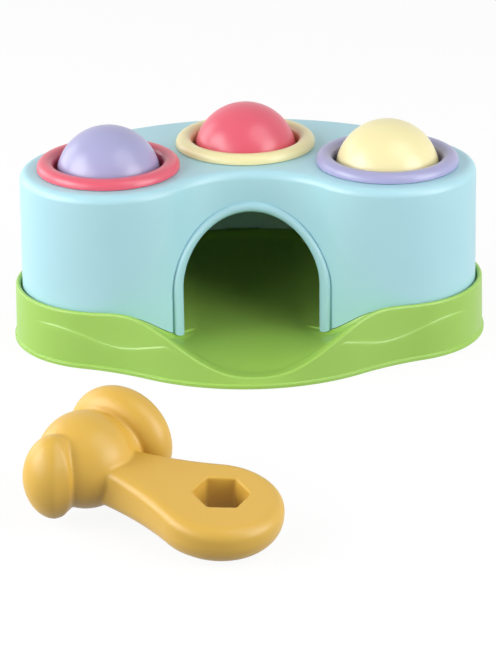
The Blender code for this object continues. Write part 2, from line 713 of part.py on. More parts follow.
def hammer_handle():
    """Paddle handle, narrowly rounded above and widely below, its end resting on the ground."""
    outline = handle_outline(0.0)
    inward = (handle_outline(FIT) - outline) / FIT
    span = (-HANDLE_REACH, 0.0)
    under = np.interp(outline[:, 0], span, (HANDLE_NECK_UNDER_ROUND, HANDLE_UNDER_ROUND))
    top = np.interp(outline[:, 0], span, (HANDLE_NECK_TOP_ROUND, HANDLE_TOP_ROUND))
    quarter = np.linspace(0.0, pi / 2, EDGE_STEPS + 1)
    rings = []
    for turn in quarter[::-1]:
        xy = outline + inward * (under * (1 - cos(turn)))[:, None]
        low = -np.tan(HANDLE_DROOP) * xy[:, 0]
        rings.append(lifted(xy + (HANDLE_REACH, 0.0), low + under * (1 - sin(turn))))
    for turn in quarter:
        xy = outline + inward * (top * (1 - cos(turn)))[:, None]
        high = HANDLE_THICKNESS - (np.tan(HANDLE_DROOP) + np.tan(HANDLE_TAPER)) * xy[:, 0]
        rings.append(lifted(xy + (HANDLE_REACH, 0.0), high - top * (1 - sin(turn))))
    upright = np.array(hammer_axes().to_matrix())[2]
    lowest = (np.vstack(rings) @ upright).min()
    drop = (head_height() + lowest) / upright[2]
    return loft([ring - (0.0, 0.0, drop) for ring in rings])


def hammer_face(name):
    """Turned neck and thick mushroom face about the head's axis."""
    ring = HEAD_RADIUS - HEAD_ROUND
    near = -acos((NECK_RADIUS - ring) / HEAD_ROUND)
    points = [(0.0, 0.0), (NECK_RADIUS, 0.0)]
    for t in np.linspace(near, pi / 2, FACE_STEPS):
        points.append((ring + HEAD_ROUND * cos(t), HEAD_REACH + HEAD_ROUND * sin(t)))
    points.append((0.0, HEAD_REACH + HEAD_ROUND))
    return turned(name, points[::-1], HEAD_STEPS, None, (0, 0, 0), closed=False)


def hammer_claw():
    """Blunt claw: a swelling upright drum, cut flat in front and on the side of the handle."""
    angles = 2 * pi * np.arange(HEAD_STEPS) / HEAD_STEPS
    face = CLAW_FACE_REACH / np.maximum(np.cos(angles - CLAW_FACE_TURN), CLAW_FACE_REACH / CLAW_RADIUS)
    side = CLAW_SIDE_REACH / np.maximum(np.cos(angles - CLAW_SIDE_TURN), CLAW_SIDE_REACH / CLAW_RADIUS)
    reach = np.minimum(face, side)
    outline = np.column_stack([reach * np.cos(angles), reach * np.sin(angles)])
    centre = np.array([CLAW_X, CLAW_Y])
    rings = []
    for turn in np.linspace(-pi / 2, pi / 2, CLAW_RINGS + 2)[1:-1]:
        share = cos(turn) ** (2 / CLAW_BULGE)
        height = np.sign(turn) * abs(sin(turn)) ** (2 / CLAW_BULGE)
        rings.append(lifted(centre + outline * share, CLAW_HALF_HEIGHT * height))
    return loft(rings, start=(*centre, -CLAW_HALF_HEIGHT), end=(*centre, CLAW_HALF_HEIGHT))


def hammer():
    """One-piece toy hammer, about its head's centre, as it lies on the ground."""
    lie = Matrix.Translation((HAMMER_X, HAMMER_Y, head_height())) @ hammer_axes().to_matrix().to_4x4()
    obj = place("hammer", hammer_handle(), material("hammer_amber", AMBER, 0.42))
    obj.matrix_world = lie
    face = hammer_face("hammer_face")
    face.matrix_world = lie @ Matrix.Rotation(radians(-90), 4, "X")
    face.hide_render = True
    face.display_type = "WIRE"
    globe = bmesh.new()
    bmesh.ops.create_uvsphere(globe, u_segments=HEAD_STEPS, v_segments=HEAD_STEPS // 2,
                              radius=BODY_RADIUS)
    body = tool("hammer_body", globe)
    body.matrix_world = lie @ Matrix.Translation((-BODY_SET_BACK, 0, BODY_LIFT))
    claw = tool("hammer_claw", hammer_claw())
    claw.matrix_world = lie
    hole = bmesh.new()
    bmesh.ops.create_cone(hole, cap_ends=True, segments=6, radius1=HEX_RADIUS, radius2=HEX_RADIUS,
                          depth=4 * HANDLE_THICKNESS)
    bore = tool("hammer_hex", hole)
    bore.matrix_world = lie @ Matrix.Translation((HEX_X, HEX_Y, 0))
    for piece in (face, body, claw):
        boolean(obj, piece, "UNION")
    boolean(obj, bore, "DIFFERENCE")
    return obj


def clear_scene():
    """Start from an empty scene."""
    for obj in list(bpy.data.objects):
        bpy.data.objects.remove(obj)


def main():
    clear_scene()
    housing_shell()
    base_tray()
    base_screws()
    for side, collar_colour, ball_colour in (
        ("left", PINK, LILAC),
        ("middle", YELLOW, PINK),
        ("right", LILAC, YELLOW),
    ):
        collar(side, collar_colour)
        grip(side)
        ball(side, ball_colour)
    hammer()


main()
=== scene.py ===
"""Looks of a toddler's ball pounding bench and its toy hammer.

Every visible piece is a surface worked out in metres in the model's own frame: +Z up, the ground at
zero, -Y towards the viewer.  Lengths are the solids' own sizes, except that the rims of the collars and
of the tray and the upper edge of the hammer's handle follow the photograph more closely.
"""

from math import acos, atan2, cos, hypot, pi, radians, sin, sqrt, tan

import bmesh
import bpy
import numpy as np
from mathutils import Euler, Matrix, Vector


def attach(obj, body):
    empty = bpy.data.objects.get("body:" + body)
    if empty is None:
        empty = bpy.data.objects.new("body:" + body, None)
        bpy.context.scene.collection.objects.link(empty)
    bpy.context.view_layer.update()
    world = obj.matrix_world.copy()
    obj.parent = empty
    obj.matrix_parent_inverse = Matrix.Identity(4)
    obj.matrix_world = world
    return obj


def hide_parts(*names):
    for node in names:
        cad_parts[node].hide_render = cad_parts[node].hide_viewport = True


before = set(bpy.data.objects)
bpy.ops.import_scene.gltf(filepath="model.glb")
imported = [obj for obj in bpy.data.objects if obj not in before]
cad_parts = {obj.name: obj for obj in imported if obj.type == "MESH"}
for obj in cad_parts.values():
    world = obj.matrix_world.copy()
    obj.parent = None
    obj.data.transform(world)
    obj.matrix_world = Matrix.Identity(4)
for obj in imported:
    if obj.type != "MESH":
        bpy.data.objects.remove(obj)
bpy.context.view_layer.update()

# Balls and their places
BALL_RADIUS = 0.025
BALL_WALL = 0.0022
BALL_SINK = 0.0047
SIDE_HOLE_X = 0.0666
MIDDLE_HOLE_Y = 0.0319
TOP_HEIGHT = 0.084
HOLES = {
    "left": np.array([-SIDE_HOLE_X, 0.0, TOP_HEIGHT]),
    "middle": np.array([0.0, MIDDLE_HOLE_Y, TOP_HEIGHT]),
    "right": np.array([SIDE_HOLE_X, 0.0, TOP_HEIGHT]),
}
WELD_ROUND = 0.0005

# Blue housing
HOUSING_WALL = 0.0024
LOBE_RADIUS = 0.0434
BACK_REACH = 0.0758
SADDLE_REACH = 0.0118
DRAFT = radians(1.0)
TOP_EDGE_RADIUS = 0.0042
ROOF_MARGIN = 1.25  # times the edge's radius
ARCH_HALF_WIDTH = 0.0324
ARCH_SPRING_HEIGHT = 0.0318
ARCH_BAND_WIDTH = 0.0048
ARCH_BAND_RISE = 0.0022
KEY_NOTCH_WIDTH = 0.0166
KEY_NOTCH_HEIGHT = 0.0024

# Green tray
RIM_STAND_OFF = 0.0047
LIP_REACH = 0.0751
BULGE_RADIUS = 0.093
SWEEP_RADIUS = 0.130
TRAY_WALL = 0.0024
FLANGE_HEIGHT = 0.0018
FLANGE_STEP = 0.0008
FLANGE_ROUND = 0.0005
RIM_LEAN = 0.0007
RIM_ROUND = 0.0012
CREST_SHARE = 0.4
CREST_SPREAD = 4.2
RIM_HEIGHT = 0.0278
SHOULDER_RISE = 0.0012
LIP_HEIGHT = 0.0050
SWOOP_HALF_WIDTH = 0.062
SWOOP_POWER = 1.22
LEDGE_HEIGHT = 0.0240
DOOR_FLOOR_HEIGHT = 0.0068
BOWL_FLAT_HALF_WIDTH = 0.027
BOWL_SIDE_HALF_WIDTH = 0.060
BOWL_POWER = 2.2
VALLEY_RISE = 0.0165
VALLEY_POWER = 1.6
SIDE_RAMP_RISE = 0.0170
VALLEY_HALF_WIDTH = 0.026
FLOOR_CENTRE_Y = 0.020
FLOOR_EDGE_SHARE = 0.9
FLOOR_MIDDLE_SHARE = 0.04
PAD_RADIUS = 0.012
WAVE_STEP = 0.0004
WAVE_STEP_HEIGHT = 0.0009
WAVE_TOP_SHARE = 0.82
WAVE_MIDDLE = 0.0157
WAVE_SWING = 0.0033
WAVE_CREST_X = 0.095
WAVE_TROUGH_X = 0.063
WAVE_END_X = 0.037
WAVE_END_RISE = 0.0051
WAVE_END_FADE = 0.008
WAVE_SIDE_ANGLE = radians(-36.0)
WAVE_SIDE_FADE = radians(16.0)

# Collars, grip rings and screws
COLLAR_BORE = 0.0259
COLLAR_RIM_WIDTH = 0.0082
RIM_FULLNESS = 0.86
COLLAR_RIM_RISE = 0.0043
SLEEVE_BORE = 0.0285
SLEEVE_RADIUS = 0.0305
SLEEVE_DEPTH = 0.0200
SLEEVE_LIP = 0.0020
SLEEVE_LIP_GAP = 0.0008
GROOVE_DEPTH = 0.0060
GROOVE_CUT = 0.0011
HOOK_REACH = 0.0014
HOOK_HEIGHT = 0.0036
HOOK_WIDTH = 0.0080
HOOK_ROOT = 0.0010
HOOK_COUNT = 4
GRIP_WALL = 0.0019
GRIP_CONTACT_DROP = 0.0095
GRIP_TIP_HEIGHT = 0.0012
BOSS_RADIUS = 0.0040
BACK_BOSS_X = 0.034
LOBE_BOSS_ANGLE = radians(45.0)
POST_RADIUS = 0.0052
SCREW_HEAD_RADIUS = 0.0031
SCREW_HEAD_HEIGHT = 0.0021
SCREW_DOME_SHARE = 0.7
SCREW_SHANK_RADIUS = 0.0014
SCREW_LENGTH = 0.0140
SCREW_TIP_LENGTH = 3 * SCREW_SHANK_RADIUS
SCREW_TIP_SHARE = 0.12
SCREW_POINT = 0.0002
SCREW_SEAT = 0.0034
RECESS_REACH = 0.0017
RECESS_HALF_WIDTH = 0.00035
RECESS_DEPTH = 0.0011
RECESS_OVERCUT = 0.0005
THREAD_PITCH = 0.0013
THREAD_DEPTH = 0.00035

# Hammer
HAMMER_X = -0.0731
HAMMER_Y = -0.1934
HANDLE_TURN = radians(-31.4)
HANDLE_DIP = radians(4.5)
HEAD_ROLL = radians(4.7)
HEAD_RADIUS = 0.0238
HEAD_ROUND = 0.0088
HEAD_REACH = 0.0222
BODY_RADIUS = 0.0205
BODY_SET_BACK = 0.0032
BODY_LIFT = 0.0006
NECK_RADIUS = 0.0160
HANDLE_REACH = 0.0604
HANDLE_END_RADIUS = 0.0264
HANDLE_NECK_HALF_WIDTH = 0.0087
HANDLE_NECK_RADIUS = 0.131
HANDLE_THICKNESS = 0.0188
HANDLE_DROOP = radians(1.3)
HANDLE_TAPER = radians(1.6)
HANDLE_TOP_ROUND = 0.0052
HANDLE_NECK_TOP_ROUND = 0.0034
HANDLE_UNDER_ROUND = 0.0113
HANDLE_NECK_UNDER_ROUND = 0.0052
HEX_X = 0.0596
HEX_Y = 0.0028
HEX_RADIUS = 0.0119
HEX_CUT_REACH = 0.05
CLAW_X = -0.0073
CLAW_Y = -0.0172
CLAW_RADIUS = 0.0132
CLAW_HALF_HEIGHT = 0.0190
CLAW_BULGE = 1.9
CLAW_FACE_REACH = 0.0117
CLAW_FACE_TURN = radians(-31.0)
CLAW_SIDE_REACH = 0.0103
CLAW_SIDE_TURN = radians(4.0)
HAMMER_GRAIN = 0.0006
RELAX_FACTOR = 0.5
RELAX_ROUNDS = 5

# Clearances and how finely the surfaces are divided
FIT = 0.0003
SEAT_GAP = 0.00035
FRONT_STEPS = 48
SWEEP_STEPS = 44
LOBE_STEPS = 76
BACK_STEPS = 44
OUTER_ROWS = (9, 11)
INNER_ROWS = (5, 5)
FLANGE_ROWS = 5
WALL_ROWS = 7
RIM_ROWS = 9
BOWL_ROWS = 13
FLOOR_EDGE_ROWS = 7
FLOOR_ROWS = 25
UNDERSIDE_SKIP = 3
ARCH_STEPS = 97
LEG_STEPS = 15
BAND_STEPS = 17
POST_SIDES = 40
PAD_SIDES = 72
BOSS_SIDES = 32
BORE_SIDES = 24
PILOT_SIDES = 20
RING_STEPS = 144
COLLAR_ROWS = 33
BALL_STEPS = 128
BALL_ROWS = 49
BALL_INNER_ROWS = 25
WELD_ROWS = 5
SCREW_STEPS = 32
SCREW_ROWS = 97
SCREW_DOME_ROWS = 9
HANDLE_SWEEP_STEPS = 40
HANDLE_END_STEPS = 48
HANDLE_EDGE_ROWS = 13
CLAW_STEPS = 120
CLAW_ROWS = 51
HEAD_STEPS = 96
HEAD_ROWS = 49

# Plastic: index of refraction, sizes of its cloudiness and sheen in mm, and how far sheen and grain go
PLASTIC_IOR = 1.49
FLOW_MM = 28.0
SHEEN_MM = 9.0
SHEEN_SWING = 0.01
GRAIN_STRENGTH = 0.25
GRAIN_HEIGHT = 0.00003

# Studio: floor, surroundings by height and depth of the direction, lamps and camera
FLOOR_REACH = 6.0
FLOOR_DROP = 0.0002
FLOOR_GLOW = 0.92
SKY_HEIGHTS, SKY_HEIGHT_GLOW = (0.0, 0.8), (0.82, 0.16)
SKY_DEPTHS, SKY_DEPTH_SHARE = (-1.0, -0.4), (0.2, 1.0)
LAMP_AIM = Vector((0.0, -0.03, 0.05))
SOFT_BOXES = (  # name, direction, distance, size, power
    ("soft_box_left", (-0.91, -0.15, 0.38), 1.1, (0.80, 0.80), 8.9),
    ("soft_box_back_left", (-0.80, 0.55, 0.22), 1.1, (0.60, 0.80), 2.6),
    ("soft_box_front_left", (-0.76, -0.57, 0.24), 1.1, (0.80, 0.80), 4.2),
    ("soft_box_right", (0.50, -0.36, 0.79), 1.2, (0.95, 0.95), 4.9),
    ("soft_box_side", (0.83, -0.47, 0.26), 1.2, (0.90, 0.80), 9.2),
)
CAMERA_AIM = Vector((-0.000967, 0.0, -0.0027))
CAMERA_DISTANCE = 1.2
CAMERA_AZIMUTH = radians(-2.144)
CAMERA_ELEVATION = radians(22.752)
CAMERA_ROLL = radians(-0.643)
LENS_MM = 132.55
SENSOR_MM = 36.0


def linear(hex_colour):
    """Linear RGBA of an sRGB hex colour."""
    value = np.array([int(hex_colour[i:i + 2], 16) / 255 for i in (0, 2, 4)])
    value = np.where(value <= 0.04045, value / 12.92, ((value + 0.055) / 1.055) ** 2.4)
    return (*value.tolist(), 1.0)


def lifted(xy, z):
    """Give plan points a height."""
    return np.column_stack([xy, np.broadcast_to(z, len(xy))])


def ring_quads(rows, columns, looped=False):
    """Quads between neighbouring rows of points whose columns close; looped joins last row to first."""
    bands = rows if looped else rows - 1
    row, column = np.meshgrid(np.arange(bands), np.arange(columns), indexing="ij")
    low = row * columns
    high = (row + 1) % rows * columns
    following = (column + 1) % columns
    quads = np.stack([low + column, low + following, high + following, high + column], axis=-1)
    return quads.reshape(-1, 4)


def closed_mesh(points, faces):
    """Mesh of closed surfaces with its faces turned outwards."""
    mesh = bpy.data.meshes.new("surface")
    mesh.from_pydata(np.asarray(points).tolist(), [], faces)
    bm = bmesh.new()
    bm.from_mesh(mesh)
    bmesh.ops.recalc_face_normals(bm, faces=bm.faces)
    bm.to_mesh(mesh)
    bm.free()
    return mesh


def skinned(rings, start=None, end=None):
    """Surface through rings in order; each end closes on a pole, or a flat face where there is none."""
    rings = np.asarray(rings)
    rows, columns = rings.shape[:2]
    points = rings.reshape(-1, 3)
    faces = ring_quads(rows, columns).tolist()
    for pole, first, turn in ((start, 0, -1), (end, (rows - 1) * columns, 1)):
        loop = (first + np.arange(columns))[::turn]
        if pole is None:
            faces.append(loop.tolist())
            continue
        tip = np.full(columns, len(points))
        faces += np.stack([loop, np.roll(loop, -1), tip], axis=-1).tolist()
        points = np.vstack([points, [pole]])
    return closed_mesh(points, faces)


def spun(profile, steps, centre):
    """Rings of a profile of (radius, height) pairs carried once round the upright through centre."""
    profile = np.asarray(profile)
    turns = 2 * pi * np.arange(steps) / steps
    x = profile[:, :1] * np.cos(turns)
    y = profile[:, :1] * np.sin(turns)
    z = np.broadcast_to(profile[:, 1:], x.shape)
    return np.stack([x, y, z], axis=-1) + centre


def turned_ring(profile, steps, centre):
    """Surface of a closed profile spun round the upright through centre."""
    rings = spun(profile, steps, centre)
    return closed_mesh(rings.reshape(-1, 3), ring_quads(len(rings), steps, True).tolist())


def bars(places, radius, low, high, sides, turn=0.0):
    """Upright round bars: a circle carried from one height to another at each place."""
    turns = turn + 2 * pi * np.arange(sides) / sides
    circle = radius * np.column_stack([np.cos(turns), np.sin(turns)])
    points, faces = [], []
    for place in places:
        first = sum(len(p) for p in points)
        points.append(np.vstack([lifted(circle + place[:2], low), lifted(circle + place[:2], high)]))
        faces += (first + ring_quads(2, sides)).tolist()
        faces += [(first + np.arange(sides)[::-1]).tolist(), (first + sides + np.arange(sides)).tolist()]
    return closed_mesh(np.vstack(points), faces)


def block(low, high):
    """Box between two corners."""
    plan = np.array([[low[0], low[1]], [high[0], low[1]], [high[0], high[1]], [low[0], high[1]]])
    return skinned([lifted(plan, low[2]), lifted(plan, high[2])])


def joined(meshes):
    """One mesh of several."""
    bm = bmesh.new()
    for mesh in meshes:
        bm.from_mesh(mesh)
    made = bpy.data.meshes.new("surface")
    bm.to_mesh(made)
    bm.free()
    return made


def shaped(mesh, steps, finish=None):
    """The mesh after closed forms are joined to it or cut from it, and then finished by modifiers."""
    obj = bpy.data.objects.new("blank", mesh)
    bpy.context.scene.collection.objects.link(obj)
    tools = []
    for form, operation in steps:
        tool = bpy.data.objects.new("tool", form)
        bpy.context.scene.collection.objects.link(tool)
        tools.append(tool)
        mod = obj.modifiers.new("form", "BOOLEAN")
        mod.operation = operation
        mod.solver = "EXACT"
        mod.object = tool
    if finish:
        finish(obj)
    bpy.context.view_layer.update()
    made = bpy.data.meshes.new_from_object(obj.evaluated_get(bpy.context.evaluated_depsgraph_get()))
    for done in (obj, *tools):
        bpy.data.objects.remove(done)
    return made


def piece(name, mesh, mat, body, slot, *nodes, crease=32):
    """Show a mesh as a piece that rides on a body and stands for CAD nodes."""
    mesh.name = name
    mesh.shade_smooth()
    mesh.set_sharp_from_angle(angle=radians(crease))
    mesh.materials.clear()
    mesh.materials.append(mat)
    obj = bpy.data.objects.new(name, mesh)
    bpy.context.scene.collection.objects.link(obj)
    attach(obj, body)
    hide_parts(*nodes)


def add(tree, kind, values=None, links=None, **settings):
    """Add a node, set its properties and input values, and link its inputs."""
    made = tree.nodes.new(kind)
    for key, value in settings.items():
        setattr(made, key, value)
    for key, value in (values or {}).items():
        made.inputs[key].default_value = value
    for key, socket in (links or {}).items():
        tree.links.new(socket, made.inputs[key])
    return made


def ranged(tree, value, source, target):
    """Carry a value from one range to another, held at both ends."""
    limits = {"From Min": source[0], "From Max": source[1], "To Min": target[0], "To Max": target[1]}
    return add(tree, "ShaderNodeMapRange", limits, {"Value": value}).outputs["Result"]


def noise(tree, size_mm, detail):
    """Noise in object space with features about size_mm across."""
    place = add(tree, "ShaderNodeTexCoord").outputs["Object"]
    values = {"Scale": 1000 / size_mm, "Detail": detail}
    return add(tree, "ShaderNodeTexNoise", values, {"Vector": place}).outputs["Fac"]


def between(tree, share, first_hex, second_hex):
    """Colour that lies by a share between two sRGB hex colours."""
    values = {6: linear(first_hex), 7: linear(second_hex)}
    return add(tree, "ShaderNodeMix", values, {0: share}, data_type="RGBA").outputs[2]


def shaded(name, values):
    """New material with its node tree and its shader, whose inputs start from values."""
    mat = bpy.data.materials.new(name)
    mat.use_nodes = True
    shader = mat.node_tree.nodes["Principled BSDF"]
    for key, value in values.items():
        shader.inputs[key].default_value = value
    return mat, mat.node_tree, shader


def moulded_plastic(name, hex_colour, shade_hex, roughness, grain_mm, specular):
    """Injection-moulded satin plastic.

    A fine spark-eroded grain softens the gloss, flow in the mould leaves a very faint cloudiness a few
    centimetres across, and handling varies the sheen.  The real grain is about 0.05 mm, too fine to
    show, so it is drawn as coarse as grain_mm.
    """
    mat, tree, shader = shaded(name, {"IOR": PLASTIC_IOR, "Specular IOR Level": specular})
    tone = between(tree, noise(tree, FLOW_MM, 2.0), hex_colour, shade_hex)
    swing = (roughness - SHEEN_SWING, roughness + SHEEN_SWING)
    gloss = ranged(tree, noise(tree, SHEEN_MM, 3.0), (0.2, 0.8), swing)
    bump = add(tree, "ShaderNodeBump", {"Strength": GRAIN_STRENGTH, "Distance": GRAIN_HEIGHT},
               {"Height": noise(tree, grain_mm, 1.0)})
    tree.links.new(tone, shader.inputs["Base Color"])
    tree.links.new(gloss, shader.inputs["Roughness"])
    tree.links.new(bump.outputs["Normal"], shader.inputs["Normal"])
    return mat


def zinc_plated_steel():
    """Zinc-plated screw steel: bright metal with a bluish cast in patches about 1 mm across."""
    mat, tree, shader = shaded("zinc_plated_steel", {"Metallic": 1.0})
    patches = noise(tree, 1.2, 3.0)
    tree.links.new(between(tree, patches, "b4b9c0", "d2d4d6"), shader.inputs["Base Color"])
    tree.links.new(ranged(tree, patches, (0.0, 1.0), (0.28, 0.42)), shader.inputs["Roughness"])
    return mat


def soft_rubber():
    """Moulded soft rubber: pale, matt, with a slightly powdery cloudiness."""
    mat, tree, shader = shaded("soft_moulded_rubber", {"IOR": 1.52, "Roughness": 0.72})
    powder = noise(tree, 3.0, 4.0)
    tree.links.new(between(tree, powder, "deded9", "ecece8"), shader.inputs["Base Color"])
    return mat


def arc(centre, radius, start, stop, steps):
    """Points on an arc from start, with stop left out for the next piece of the outline."""
    angles = start + (stop - start) * np.arange(steps) / steps
    return np.column_stack([centre[0] + radius * np.cos(angles), centre[1] + radius * np.sin(angles)])


def mirrored(half):
    """Close a right half outline, whose ends lie on the middle plane, with its mirror image."""
    return np.vstack([half, half[-2:0:-1] * (-1, 1)])


def back_centre():
    """Centre, on the middle plane, of the back arc that touches both lobes."""
    free = BACK_REACH - LOBE_RADIUS
    return (free ** 2 - SIDE_HOLE_X ** 2) / (2 * free)


def saddle_centre():
    """Centre, on the middle plane, of the hollow front arc that touches both lobes."""
    free = LOBE_RADIUS - SADDLE_REACH
    return -(SIDE_HOLE_X ** 2 - free ** 2) / (2 * free)


def tray_sweep():
    """Centre of the lip's bulge, centre of the hollow sweep that touches the bulge and a lobe of the
    tray, and the angle at which the lobe meets the sweep."""
    to_lobe = LOBE_RADIUS + RIM_STAND_OFF + SWEEP_RADIUS
    to_bulge = BULGE_RADIUS + SWEEP_RADIUS
    bulge_y = BULGE_RADIUS - LIP_REACH
    apart = hypot(SIDE_HOLE_X, bulge_y)
    along = (to_bulge ** 2 - to_lobe ** 2 + apart ** 2) / (2 * apart)
    across = sqrt(to_bulge ** 2 - along ** 2)
    unit = np.array([SIDE_HOLE_X, -bulge_y]) / apart
    sweep = np.array([0.0, bulge_y]) + unit * along - np.array([-unit[1], unit[0]]) * across
    return bulge_y, sweep, atan2(sweep[1], sweep[0] - SIDE_HOLE_X)


def back_part(lobe_radius, lobe_start):
    """Lobe from an angle to the back arc, then the back arc to the middle plane."""
    y = back_centre()
    meet = atan2(-y, SIDE_HOLE_X)
    back_radius = BACK_REACH - y + lobe_radius - LOBE_RADIUS
    lobe = arc((SIDE_HOLE_X, 0.0), lobe_radius, lobe_start, meet, LOBE_STEPS)
    back = arc((0.0, y), back_radius, meet, pi / 2, BACK_STEPS)
    return np.vstack([lobe, back, [[0.0, y + back_radius]]])


def housing_outline(inset):
    """Plan of the housing moved inwards by inset: hollow saddle, two lobes and a back arc, all tangent."""
    y = saddle_centre()
    meet = atan2(-y, SIDE_HOLE_X)
    turn = tray_sweep()[2]
    saddle = arc((0.0, y), -y - SADDLE_REACH + inset, pi / 2, meet, FRONT_STEPS)
    front = arc((SIDE_HOLE_X, 0.0), LOBE_RADIUS - inset, meet - pi, turn, SWEEP_STEPS)
    return mirrored(np.vstack([saddle, front, back_part(LOBE_RADIUS - inset, turn)]))


def tray_outline(inset):
    """Plan of the tray moved inwards by inset: bulging lip, hollow sweeps, two lobes and the back arc."""
    bulge_y, sweep, turn = tray_sweep()
    lobe_radius = LOBE_RADIUS + RIM_STAND_OFF
    bulge_end = atan2(sweep[1] - bulge_y, sweep[0])
    bulge = arc((0.0, bulge_y), BULGE_RADIUS - inset, -pi / 2, bulge_end, FRONT_STEPS)
    hollow = arc(sweep, SWEEP_RADIUS + inset, bulge_end + pi, turn + pi, SWEEP_STEPS)
    return mirrored(np.vstack([bulge, hollow, back_part(lobe_radius - inset, turn)]))


def eased(t):
    """Smooth step of t, held to 0 and 1 outside its range."""
    t = np.clip(t, 0.0, 1.0)
    return t * t * (3 - 2 * t)


def front_share(count):
    """True for the points of an outline that lie on its front, before the lobes' far sides begin."""
    index = np.arange(count)
    reach = FRONT_STEPS + SWEEP_STEPS
    return (index <= reach) | (index >= count - reach)


def rim_height(outline):
    """Height of the rim: low at the lip, a cosine swoop up to a shoulder, level round the lobes."""
    x = np.abs(outline[:, 0])
    lobe_x = tray_outline(0.0)[FRONT_STEPS + SWEEP_STEPS, 0]
    swoop = (1 - np.cos(pi * np.clip(x / SWOOP_HALF_WIDTH, 0, 1) ** SWOOP_POWER)) / 2
    fall = np.clip((x - SWOOP_HALF_WIDTH) / (lobe_x - SWOOP_HALF_WIDTH), 0, 1)
    shoulder = SHOULDER_RISE * (1 + np.cos(pi * fall)) / 2
    front = LIP_HEIGHT + (RIM_HEIGHT - LIP_HEIGHT) * swoop + shoulder * swoop
    return np.where(front_share(len(x)), front, RIM_HEIGHT)


def foot_height(outline):
    """Height of the tray along the foot of the housing's wall."""
    x = np.abs(outline[:, 0])
    side = eased((x - BOWL_FLAT_HALF_WIDTH) / (BOWL_SIDE_HALF_WIDTH - BOWL_FLAT_HALF_WIDTH))
    front = DOOR_FLOOR_HEIGHT + (LEDGE_HEIGHT - DOOR_FLOOR_HEIGHT) * side
    return np.where(front_share(len(x)), front, LEDGE_HEIGHT)


def floor_height(xy):
    """Height of the valley floor: it rises to the back by a power of depth and to each side in a ramp."""
    door = -SADDLE_REACH
    depth = np.clip((xy[:, 1] - door) / (BACK_REACH - door), 0, 1)
    valley = DOOR_FLOOR_HEIGHT + VALLEY_RISE * depth ** VALLEY_POWER
    far = SIDE_HOLE_X + LOBE_RADIUS
    side = np.clip((np.abs(xy[:, 0]) - VALLEY_HALF_WIDTH) / (far - VALLEY_HALF_WIDTH), 0, 1)
    return np.minimum(valley + SIDE_RAMP_RISE * side, LEDGE_HEIGHT - FIT)


def wave_height(outline, top):
    """Height of the moulded wave on the tray's outer wall: a cosine crest on each lobe, a trough beside
    it and a half-cosine rise to the swoop, kept under the rim."""
    x = np.abs(outline[:, 0])
    lobe = WAVE_MIDDLE + WAVE_SWING * np.cos(pi * (x - WAVE_CREST_X) / (WAVE_CREST_X - WAVE_TROUGH_X))
    share = np.clip((WAVE_TROUGH_X - x) / (WAVE_TROUGH_X - WAVE_END_X), 0, 1)
    swoop = WAVE_MIDDLE - WAVE_SWING + WAVE_END_RISE * (1 - np.cos(pi * share)) / 2
    height = np.where(x > WAVE_TROUGH_X, lobe, swoop)
    return np.minimum(height, FLANGE_HEIGHT + WAVE_TOP_SHARE * (top - FLANGE_HEIGHT))


def wave_strength(outline):
    """How far the wave stands out: full on the front of the lobes, faded at the swoop and the sides."""
    x = np.abs(outline[:, 0])
    turn = np.arctan2(outline[:, 1], x - SIDE_HOLE_X)
    side = eased((WAVE_SIDE_ANGLE - turn) / WAVE_SIDE_FADE)
    return side * eased((x - WAVE_END_X) / WAVE_END_FADE) * (outline[:, 1] < 0)


def screw_places():
    """Plan places of the screws: two in each lobe and two at the back."""
    reach = LOBE_RADIUS - HOUSING_WALL - BOSS_RADIUS + FIT
    back_radius = BACK_REACH - back_centre() - LOBE_RADIUS + reach
    back_y = back_centre() + sqrt(back_radius ** 2 - BACK_BOSS_X ** 2)
    places = []
    for side in (-1, 1):
        for turn in (-LOBE_BOSS_ANGLE, LOBE_BOSS_ANGLE):
            places.append((side * (SIDE_HOLE_X + reach * cos(turn)), reach * sin(turn)))
        places.append((side * BACK_BOSS_X, back_y))
    return places


def tray_wall_rings(rim):
    """Outer wall between flange and rim: rows that follow the moulded wave, below which the wall swells
    out in a straight taper and above which it steps back over a soft ledge."""
    top = rim - RIM_ROUND
    low = FLANGE_HEIGHT + FIT
    outline = tray_outline(FLANGE_STEP)
    wave = wave_height(outline, top)
    strength = wave_strength(outline) * WAVE_STEP
    ledge = np.minimum(wave + WAVE_STEP_HEIGHT, top)
    shares = np.linspace(0, 1, WALL_ROWS)
    heights = [low + (wave - low) * share for share in shares]
    heights += [wave + WAVE_STEP_HEIGHT * share for share in shares[1:]]
    heights += [ledge + (top - ledge) * share for share in shares[1:]]
    swell = [strength * share for share in shares]
    swell += [strength * (1 - eased(share)) for share in shares[1:]]
    swell += [0 * strength] * (WALL_ROWS - 1)
    inner = tray_outline(FLANGE_STEP + RIM_LEAN)
    per_metre = (inner - outline) / RIM_LEAN
    rings = []
    for z, out in zip(heights, swell):
        z = np.minimum(z, top)
        inset = RIM_LEAN * (z - low) / (top - low) - out
        rings.append(lifted(outline + per_metre * inset[:, None], z))
    return rings


